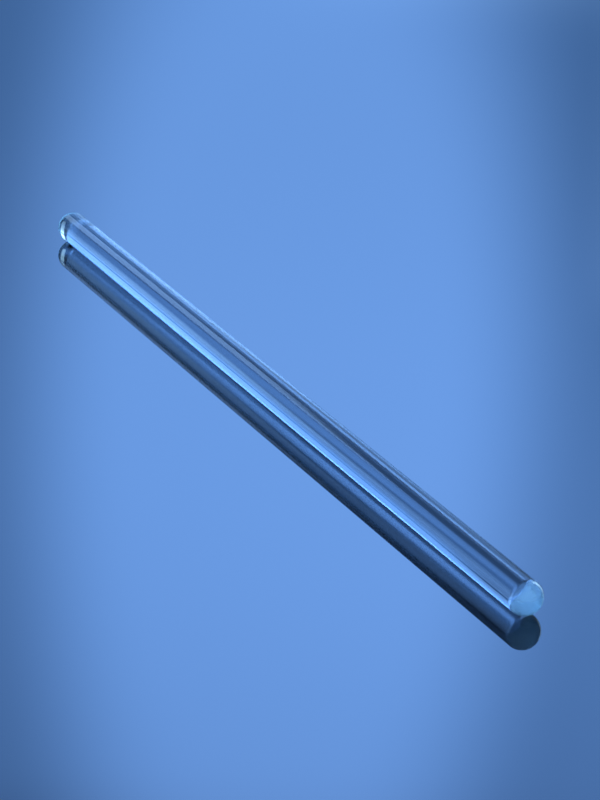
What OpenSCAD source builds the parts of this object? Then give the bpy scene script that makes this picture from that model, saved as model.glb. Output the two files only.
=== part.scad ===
// Solid glass stirring rod: one length of drawn cane with both ends fire-polished.
// The rod lies along X on the plane z = 0, with the middle of its length over the origin.
// A flame rounds the cut rim first and then draws the whole end up into a dome, so each
// end is a rim arc that runs smoothly into a wider crown arc across the tip.

/* [Cane] */
// Length of the rod from tip to tip
rod_length = 200; // [100:5:300]
// Diameter of the drawn cane
cane_d = 7; // [5:0.5:10]

/* [Stirring end, melted to a half ball, at +X] */
// Radius of the rounded rim
stir_rim_r = 3.4; // [0.5:0.1:5]
// Radius of the crown across the tip
stir_crown_r = 3.6; // [2.5:0.1:20]

/* [Handle end, melted a little less, at -X] */
// Radius of the rounded rim
grip_rim_r = 3.0; // [0.5:0.1:5]
// Radius of the crown across the tip
grip_crown_r = 3.6; // [2.5:0.1:20]

/* [Hidden] */
arc_fn = 96;
cane_r = cane_d / 2;
// Straight wall that belongs to each end, so that it overlaps the straight stretch
root = 1;

// No rim or crown can bend outside the wall of the cane, where the end is a half ball.
function rim_of(rim_r) = min(rim_r, cane_r);
function crown_of(crown_r) = max(crown_r, cane_r);

// Depth of the crown's centre below the plane where the end leaves the straight wall.
// Crown and rim touch where they share a tangent, so their centres lie crown - rim apart.
function crown_drop(rim, crown) = sqrt(pow(crown - rim, 2) - pow(cane_r - rim, 2));

// Height of an end, from the straight wall to its tip.
function end_height(rim, crown) = crown - crown_drop(rim, crown);

// Half section of an end, with the axis at x = 0 and the straight wall's end at y = 0.
// A rim as wide as the wall makes the end a half ball, which leaves no width for a crown.
module end_section(rim, crown) {
    drop = crown_drop(rim, crown);
    reach = 2 * crown;
    lean = atan2(cane_r - rim, drop);
    if (rim < cane_r) intersection() {
        translate([0, -drop]) circle(r = crown, $fn = arc_fn);
        polygon([
            [0, -drop],
            [reach * sin(lean), reach * cos(lean) - drop],
            [0, reach - drop]
        ]);
        square([cane_r, crown]);
    }
    intersection() {
        translate([cane_r - rim, 0]) circle(r = rim, $fn = arc_fn);
        square([cane_r, rim]);
    }
    translate([0, -root]) square([cane_r, root]);
}

// Half section of the whole rod, from the handle tip at y = 0 to the stirring tip.
module rod_section() {
    stir_rim = rim_of(stir_rim_r);
    stir_crown = crown_of(stir_crown_r);
    grip_rim = rim_of(grip_rim_r);
    grip_crown = crown_of(grip_crown_r);
    wall_start = end_height(grip_rim, grip_crown);
    wall_end = rod_length - end_height(stir_rim, stir_crown);
    translate([0, wall_start]) mirror([0, 1]) end_section(grip_rim, grip_crown);
    translate([0, wall_start]) square([cane_r, wall_end - wall_start]);
    translate([0, wall_end]) end_section(stir_rim, stir_crown);
}

module rod() {
    color([0.62, 0.82, 0.88, 0.5])
        translate([-rod_length / 2, 0, cane_r])
        rotate([0, 90, 0])
        rotate_extrude($fn = arc_fn) rod_section();
}

rod();
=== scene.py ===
"""Glass stirring rod lying on a glossy studio surface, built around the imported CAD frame.

The rod is one lathed solid of clear glass that stands for the CAD node "rod". What shows in clear
glass is the room around it, so the world is a blue studio: soft boxes around a lit backdrop, which
the glass and the glossy surface under it both show. Its light is stronger than plain light, up to
4.35 in the blue where 1 is white, and the glass is tinted to suit it.
"""

import math
from collections import namedtuple

import bpy
from mathutils import Matrix, Vector


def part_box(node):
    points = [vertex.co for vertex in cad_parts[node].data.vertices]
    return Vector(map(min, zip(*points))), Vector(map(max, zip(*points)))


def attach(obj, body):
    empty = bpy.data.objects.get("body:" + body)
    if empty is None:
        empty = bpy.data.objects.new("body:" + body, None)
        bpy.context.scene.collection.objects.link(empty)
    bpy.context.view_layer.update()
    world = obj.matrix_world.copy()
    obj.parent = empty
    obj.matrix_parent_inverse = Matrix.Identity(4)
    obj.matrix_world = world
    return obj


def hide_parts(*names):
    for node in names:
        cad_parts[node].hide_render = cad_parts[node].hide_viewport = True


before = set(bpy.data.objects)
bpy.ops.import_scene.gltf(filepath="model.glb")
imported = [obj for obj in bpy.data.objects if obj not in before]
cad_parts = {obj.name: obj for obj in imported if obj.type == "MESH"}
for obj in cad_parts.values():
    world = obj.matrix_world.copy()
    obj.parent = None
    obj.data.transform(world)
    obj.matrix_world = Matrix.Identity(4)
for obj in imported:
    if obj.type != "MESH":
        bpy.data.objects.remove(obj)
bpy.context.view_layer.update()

# ---------------------------------------------------------------- sizes, in metres
# Both ends are close to half balls, and they differ by less than the photograph's outlines show
End = namedtuple("End", "rim_radius crown_radius")
STIRRING_END = End(rim_radius=0.0034, crown_radius=0.0036)
HANDLE_END = End(rim_radius=0.0030, crown_radius=0.0036)

# How finely the mesh is cut: faces around, steps in a quarter turn of an end, steps along the wall
SIDES = 384
ARC_STEPS = 40
WALL_STEPS = 24

# ---------------------------------------------------------------- camera, in metres and degrees
# Solved from the outlines of the rod and of its mirror image in the photograph, with the rod's
# proportions held at 200 x 7 mm
CAMERA_AIM = Vector((0.0028, 0.0058, 0.0008))
CAMERA_AZIMUTH = 60.28
CAMERA_ELEVATION = 25.11
CAMERA_ROLL = 2.41
CAMERA_DISTANCE = 0.5754
CAMERA_LENS_MM = 125.73
CAMERA_CLIP_START = 0.01

# ---------------------------------------------------------------- the studio
# A soft box is a rounded patch of light on the sky. Its place is a bearing, in degrees to the right
# of the camera's heading, and a height above the horizon. Half its size and the softness of its
# edges are in degrees too, and its colour is the light it gives, where 1 is white.
# Six boxes and the oval are the output of a fitting program, run against the photograph's colours,
# and some were then changed, the window's and the narrow band's colours the most: the
# window, the wide glow, the broad high light, the dim panel, the narrow band beside it and the
# low glow at the far left. The other seven were set one by one.
SoftBox = namedtuple("SoftBox", "bearing height half_width half_height soft_x soft_y colour")
SOFT_BOXES = [
    # Window at the left, which the glass draws out into the bright line along the rod
    SoftBox(-35.1, 32.4, 11.2, 5.9, 4.8, 4.0, (1.22, 2.27, 4.35)),
    # Wide glow low behind the rod
    SoftBox(-6.6, 10.9, 19.8, 22.8, 4.0, 3.0, (0.2, 0.52, 1.29)),
    # Broad soft light high behind the rod, right of the middle
    SoftBox(12.0, 33.0, 26.4, 9.4, 50.4, 18.8, (0.485, 1.14, 2.78)),
    # Dim panel low on the right of the glow, and a narrow band of light beside it
    SoftBox(14.2, 12.4, 7.6, 10.3, 2.0, 2.0, (0.181, 0.319, 0.588)),
    SoftBox(3.4, 8.8, 3.3, 7.2, 6.5, 4.0, (0.43, 0.74, 1.18)),
    # Low glow at the far left, and the dimmer wall under the window
    SoftBox(-69.3, -5.0, 7.4, 13.5, 5.1, 22.0, (0.603, 1.332, 2.921)),
    SoftBox(-38.0, 9.0, 15.0, 18.0, 6.0, 4.0, (0.22, 0.55, 1.3)),
    # Tall cool white lamp on the right, which lights the far tip
    SoftBox(36.0, 20.0, 9.0, 18.0, 4.0, 3.0, (2.25, 3.3, 3.75)),
    # Pale green light behind the camera, on top of the wall's blue
    SoftBox(180.0, 22.0, 75.0, 32.0, 20.0, 14.0, (0.36, 0.62, 0.45)),
    # The rest of the room: the wall on the right and behind, above the window, and far left
    SoftBox(150.0, 25.0, 125.0, 37.0, 20.0, 10.0, (0.28, 0.68, 1.6)),
    SoftBox(-50.0, 50.0, 52.0, 12.0, 16.0, 8.0, (0.1, 0.24, 0.54)),
    SoftBox(-82.0, 28.0, 13.0, 21.0, 8.0, 8.0, (0.2, 0.48, 1.15)),
    # Ceiling
    SoftBox(0.0, 80.0, 200.0, 20.0, 2.0, 10.0, (0.55, 1.25, 2.5)),
]
# The lit oval of the backdrop, which the floor's gloss shows as the picture's background
OVAL_BEARING = -0.38
OVAL_HEIGHT = 25.35
OVAL_RADIUS = 5.47
OVAL_SOFTNESS = 4.8
OVAL_STRETCH = 2.3
OVAL_RISE = 0.038
OVAL_COLOUR = (0.574, 1.225, 2.737)

# Level of the plain white light that diffuse rays meet. Only the floor's faint colour sends any.
PLAIN_LEVEL = 1.0

FLOOR_SIZE = 40.0
FLOOR_COLOUR = (0.001, 0.002, 0.004)
FLOOR_ROUGHNESS = 0.02
FLOOR_IOR = 1.6

# ---------------------------------------------------------------- the glass
# Chosen to match the picture under this studio. The real glass may be clearer.
GLASS_TINT = (0.52, 0.62, 0.71)
# Soda-lime glass. Borosilicate would be 1.47.
GLASS_IOR = 1.52
# Blue-green cast of light that runs a long way inside the glass, and how quickly it comes
DEPTH_COLOUR = (0.75, 0.97, 0.95)
DEPTH_DENSITY = 3.0
# Noise that sets the haze: its scale and detail, the part of its range that is used, and the
# roughness it gives
HAZE_SCALE = 90.0
HAZE_DETAIL = 3.0
HAZE_NOISE = (0.3, 0.7)
HAZE_ROUGHNESS = (0.04, 0.08)
# Lines left by the draw: a noise that is stretched along X, and how far it tilts the light
LINES_PER_METRE = (8.0, 1500.0, 1500.0)
LINES_DETAIL = 2.0
LINES_STRENGTH = 0.07
LINES_HEIGHT = 0.000006

# Light may run along inside the glass for this many bounces
BOUNCES = 64


def rod_profile(length, radius):
    """Outline of the rod from the handle tip to the stirring tip, as (x, radius) pairs."""

    def end_outline(end):
        """(height above the straight wall, radius) from the wall's edge to the tip."""
        rim, crown = end
        drop = math.sqrt((crown - rim) ** 2 - (radius - rim) ** 2)
        lean = math.atan2(radius - rim, drop)
        outline = []
        for step in range(ARC_STEPS + 1):
            angle = math.pi / 2 + (lean - math.pi / 2) * step / ARC_STEPS
            outline.append((rim * math.cos(angle), radius - rim + rim * math.sin(angle)))
        crown_steps = max(2, round(ARC_STEPS * lean))
        for step in range(1, crown_steps + 1):
            angle = lean * (1 - step / crown_steps)
            outline.append((crown * math.cos(angle) - drop, crown * math.sin(angle)))
        return outline

    handle = end_outline(HANDLE_END)
    stirring = end_outline(STIRRING_END)
    wall_start = -length / 2 + handle[-1][0]
    wall_end = length / 2 - stirring[-1][0]
    profile = [(wall_start - height, r) for height, r in reversed(handle)]
    for step in range(1, WALL_STEPS):
        profile.append((wall_start + (wall_end - wall_start) * step / WALL_STEPS, radius))
    profile += [(wall_end + height, r) for height, r in stirring]
    return profile


def lathe(name, profile, centre_y, centre_z):
    """Mesh of a profile turned about a line along X. The profile starts and ends on that line."""
    vertices = [(profile[0][0], centre_y, centre_z)]
    for x, r in profile[1:-1]:
        for side in range(SIDES):
            angle = 2 * math.pi * side / SIDES
            vertices.append((x, centre_y + r * math.cos(angle), centre_z + r * math.sin(angle)))
    vertices.append((profile[-1][0], centre_y, centre_z))
    rings = len(profile) - 2
    last = len(vertices) - 1
    faces = []
    for side in range(SIDES):
        after = (side + 1) % SIDES
        faces.append((0, 1 + after, 1 + side))
        for ring in range(rings - 1):
            start = 1 + ring * SIDES
            faces.append((start + side, start + after, start + SIDES + after, start + SIDES + side))
        start = 1 + (rings - 1) * SIDES
        faces.append((start + side, start + after, last))
    mesh = bpy.data.meshes.new(name)
    mesh.from_pydata(vertices, [], faces)
    for polygon in mesh.polygons:
        polygon.use_smooth = True
    piece = bpy.data.objects.new(name, mesh)
    bpy.context.scene.collection.objects.link(piece)
    return piece


class Nodes:
    """Short names for adding and linking the nodes of one material or world."""

    def __init__(self, owner):
        owner.use_nodes = True
        self.tree = owner.node_tree
        self.tree.nodes.clear()

    def add(self, kind, inputs=None, **settings):
        """A node, with its settings, and its inputs set to numbers or linked to sockets."""
        node = self.tree.nodes.new(kind)
        for setting, value in settings.items():
            setattr(node, setting, value)
        for socket, value in (inputs or {}).items():
            if isinstance(value, bpy.types.NodeSocket):
                self.tree.links.new(value, node.inputs[socket])
            else:
                node.inputs[socket].default_value = value
        return node

    def math(self, operation, *values):
        """The result of a Math node."""
        return self.add("ShaderNodeMath", dict(enumerate(values)), operation=operation).outputs[0]

    def scaled(self, colour, factor):
        """A colour times a factor."""
        node = self.add("ShaderNodeVectorMath", {0: colour, "Scale": factor}, operation="SCALE")
        return node.outputs[0]

    def plus(self, first, second):
        """The sum of two colours."""
        return self.add("ShaderNodeVectorMath", {0: first, 1: second}, operation="ADD").outputs[0]

    def noise(self, place, scale, detail):
        """Smooth noise around 0.5 at each place."""
        inputs = {"Vector": place, "Scale": scale, "Detail": detail}
        return self.add("ShaderNodeTexNoise", inputs).outputs[0]

    def fading(self, value, edge, softness):
        """1 below the edge and 0 above it, with a smooth fall across the softness."""
        limits = {
            "Value": value,
            "From Min": edge - softness / 2,
            "From Max": edge + softness / 2,
            "To Min": 1.0,
            "To Max": 0.0,
        }
        node = self.add("ShaderNodeMapRange", limits, interpolation_type="SMOOTHERSTEP")
        return node.outputs[0]


def clear_glass():
    """Clear drawn glass: faint lines along the draw, a thin uneven haze and a blue-green depth."""
    material = bpy.data.materials.new("clear_glass")
    nodes = Nodes(material)
    place = nodes.add("ShaderNodeTexCoord").outputs["Object"]
    haze = nodes.noise(place, HAZE_SCALE, HAZE_DETAIL)
    roughness = nodes.add("ShaderNodeMapRange", {
        "Value": haze,
        "From Min": HAZE_NOISE[0],
        "From Max": HAZE_NOISE[1],
        "To Min": HAZE_ROUGHNESS[0],
        "To Max": HAZE_ROUGHNESS[1],
    }).outputs[0]
    drawn = nodes.add("ShaderNodeMapping", {"Vector": place, "Scale": LINES_PER_METRE}).outputs[0]
    bump = nodes.add("ShaderNodeBump", {
        "Height": nodes.noise(drawn, 1.0, LINES_DETAIL),
        "Strength": LINES_STRENGTH,
        "Distance": LINES_HEIGHT,
    }).outputs[0]
    glass = nodes.add("ShaderNodeBsdfPrincipled", {
        "Base Color": (*GLASS_TINT, 1.0),
        "Roughness": roughness,
        "IOR": GLASS_IOR,
        "Transmission Weight": 1.0,
        "Normal": bump,
    })
    depth = nodes.add("ShaderNodeVolumeAbsorption", {
        "Color": (*DEPTH_COLOUR, 1.0),
        "Density": DEPTH_DENSITY,
    })
    nodes.add("ShaderNodeOutputMaterial", {"Surface": glass.outputs[0], "Volume": depth.outputs[0]})
    return material


def glossy_floor():
    """Deep blue polished surface."""
    material = bpy.data.materials.new("glossy_floor")
    nodes = Nodes(material)
    gloss = nodes.add("ShaderNodeBsdfPrincipled", {
        "Base Color": (*FLOOR_COLOUR, 1.0),
        "Roughness": FLOOR_ROUGHNESS,
        "IOR": FLOOR_IOR,
    })
    nodes.add("ShaderNodeOutputMaterial", {"Surface": gloss.outputs[0]})
    return material


def heading(bearing):
    """Level direction that many degrees to the right of the camera's heading."""
    compass = math.radians(CAMERA_AZIMUTH - bearing)
    return Vector((-math.sin(compass), math.cos(compass), 0.0))


def studio():
    """The world: soft boxes and a lit backdrop for glass and gloss, plain light for diffuse rays."""
    world = bpy.data.worlds.new("studio")
    bpy.context.scene.world = world
    nodes = Nodes(world)
    direction = nodes.add("ShaderNodeTexCoord").outputs["Generated"]
    level = nodes.add("ShaderNodeVectorMath", {0: direction, 1: (1.0, 1.0, 0.0)}, operation="MULTIPLY")
    level = nodes.add("ShaderNodeVectorMath", {0: level.outputs[0]}, operation="NORMALIZE").outputs[0]
    upward = nodes.add("ShaderNodeSeparateXYZ", {0: direction}).outputs["Z"]
    height = nodes.math("DEGREES", nodes.math("ARCSINE", upward))

    def turn_from(bearing):
        """Degrees to either side of a bearing."""
        aim = {0: level, 1: heading(bearing)}
        along = nodes.add("ShaderNodeVectorMath", aim, operation="DOT_PRODUCT").outputs["Value"]
        return nodes.math("DEGREES", nodes.math("ARCCOSINE", along))

    def climb_from(middle):
        """Degrees above a height, less than zero below it."""
        return nodes.math("SUBTRACT", height, middle)

    across = turn_from(OVAL_BEARING)
    climb = climb_from(OVAL_HEIGHT)
    squeezed = nodes.math("DIVIDE", climb, OVAL_STRETCH)
    across_squared = nodes.math("POWER", across, 2.0)
    squeezed_squared = nodes.math("MULTIPLY", squeezed, squeezed)
    radius = nodes.math("SQRT", nodes.math("ADD", across_squared, squeezed_squared))
    brighter_above = nodes.math("MULTIPLY_ADD", climb, OVAL_RISE, 1.0)
    oval = nodes.math("MULTIPLY", nodes.fading(radius, OVAL_RADIUS, OVAL_SOFTNESS), brighter_above)
    light = nodes.scaled(OVAL_COLOUR, oval)
    for box in SOFT_BOXES:
        beside = nodes.fading(turn_from(box.bearing), box.half_width, box.soft_x)
        above = nodes.math("ABSOLUTE", climb_from(box.height))
        above = nodes.fading(above, box.half_height, box.soft_y)
        light = nodes.plus(light, nodes.scaled(box.colour, nodes.math("MULTIPLY", beside, above)))

    seen = nodes.add("ShaderNodeBackground", {"Color": light}).outputs[0]
    plain = nodes.add("ShaderNodeBackground", {"Strength": PLAIN_LEVEL}).outputs[0]
    diffuse = nodes.add("ShaderNodeLightPath").outputs["Is Diffuse Ray"]
    mixed = nodes.add("ShaderNodeMixShader", {0: diffuse, 1: seen, 2: plain}).outputs[0]
    nodes.add("ShaderNodeOutputWorld", {"Surface": mixed})


def camera():
    """The camera at the photograph's angle."""
    rise = math.radians(CAMERA_ELEVATION)
    look = heading(0) * math.cos(rise) - Vector((0, 0, 1)) * math.sin(rise)
    level_right = heading(90)
    level_up = level_right.cross(look)
    roll = math.radians(CAMERA_ROLL)
    right = level_right * math.cos(roll) + level_up * math.sin(roll)
    up = level_up * math.cos(roll) - level_right * math.sin(roll)
    data = bpy.data.cameras.new("camera")
    data.lens = CAMERA_LENS_MM
    data.clip_start = CAMERA_CLIP_START
    seat = bpy.data.objects.new("camera", data)
    seat.matrix_world = Matrix.Translation(CAMERA_AIM - look * CAMERA_DISTANCE) @ Matrix(
        (right, up, -look)
    ).transposed().to_4x4()
    bpy.context.scene.collection.objects.link(seat)
    bpy.context.scene.camera = seat


def floor():
    """The surface that the rod lies on."""
    bpy.ops.mesh.primitive_plane_add(size=FLOOR_SIZE)
    plane = bpy.context.object
    plane.name = "floor"
    plane.data.materials.append(glossy_floor())


def rod():
    """The rod, turned about the axis of its CAD node."""
    low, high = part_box("rod")
    middle = (low + high) / 2
    radius = (high.z - low.z) / 2
    profile = [(middle.x + x, r) for x, r in rod_profile(high.x - low.x, radius)]
    piece = lathe("glass_rod", profile, middle.y, middle.z)
    piece.data.materials.append(clear_glass())
    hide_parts("rod")
    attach(piece, "root")


def render_settings():
    """Enough bounces for light that runs along inside the glass."""
    scene = bpy.context.scene
    scene.view_settings.view_transform = "Standard"
    scene.cycles.max_bounces = BOUNCES
    scene.cycles.transmission_bounces = BOUNCES
    scene.cycles.glossy_bounces = BOUNCES
    scene.cycles.caustics_refractive = False


camera()
studio()
floor()
rod()
render_settings()
